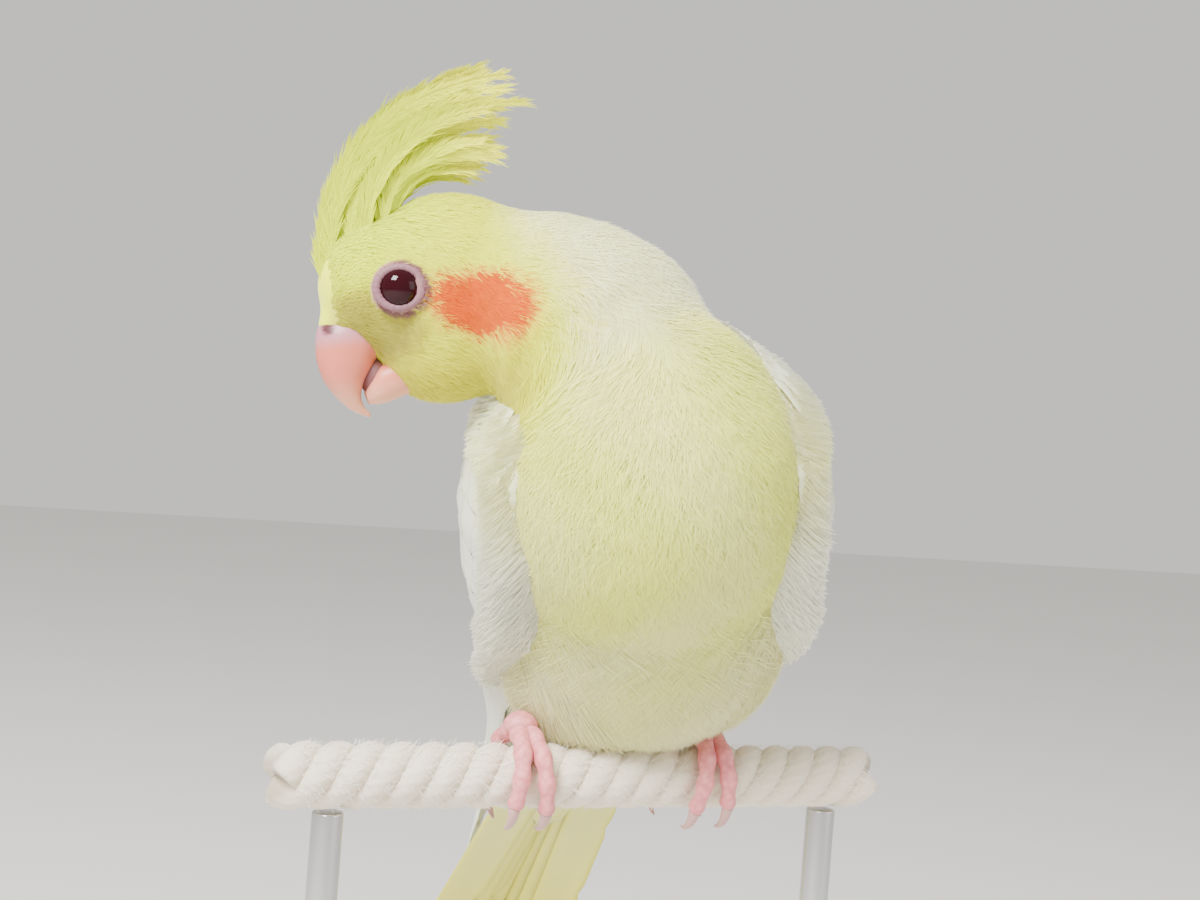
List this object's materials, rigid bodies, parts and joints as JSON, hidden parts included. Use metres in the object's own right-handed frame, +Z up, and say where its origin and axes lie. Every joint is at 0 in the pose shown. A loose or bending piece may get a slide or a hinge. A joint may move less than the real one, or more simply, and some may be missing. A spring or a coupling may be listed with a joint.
{
  "type": "bird model",
  "caption": "Life-size still model of a pale yellow cockatiel with a raised crest, looking down to its right, gripping a short rope perch on a plain stand.",
  "frame": {"origin": "the middle of the base's underside, on the surface that the stand rests on", "axes": "+Z up, +X along the rope perch towards the bird's left, -Y towards the side that the bird's breast faces"},
  "size_m": [0.15, 0.1657, 0.2489],
  "materials": {
    "body_feather": "soft cream to pale yellow contour feathers, orange cheek patch",
    "crest_feather": "lemon yellow narrow crest feathers",
    "wing_feather": "off-white flight feathers and coverts",
    "tail_feather": "pale yellow long tail feathers",
    "bill": "smooth horn, salmon pink, satin",
    "eye": "wet, very dark red",
    "foot_skin": "fine pink scales, satin",
    "claw": "grey-brown horn, satin",
    "rope": "twisted undyed cotton, fuzzy",
    "stand": "pale smooth finish",
    "rod": "satin"
  },
  "bodies": {
    "root": {"bill_lower": "bill", "bill_upper": "bill", "claw_left_inner_back": "claw", "claw_left_inner_front": "claw", "claw_left_outer_back": "claw", "claw_left_outer_front": "claw", "claw_right_inner_back": "claw", "claw_right_inner_front": "claw", "claw_right_outer_back": "claw", "claw_right_outer_front": "claw", "crest": "crest_feather", "eye_left": "eye", "eye_right": "eye", "foot_left": "foot_skin", "foot_right": "foot_skin", "head": "body_feather", "neck": "body_feather", "perch_rope": "rope", "stand_base": "stand", "stand_rod_left": "rod", "stand_rod_right": "rod", "tail": "tail_feather", "torso": "body_feather", "wing_left": "wing_feather", "wing_right": "wing_feather"}
  },
  "joints": []
}
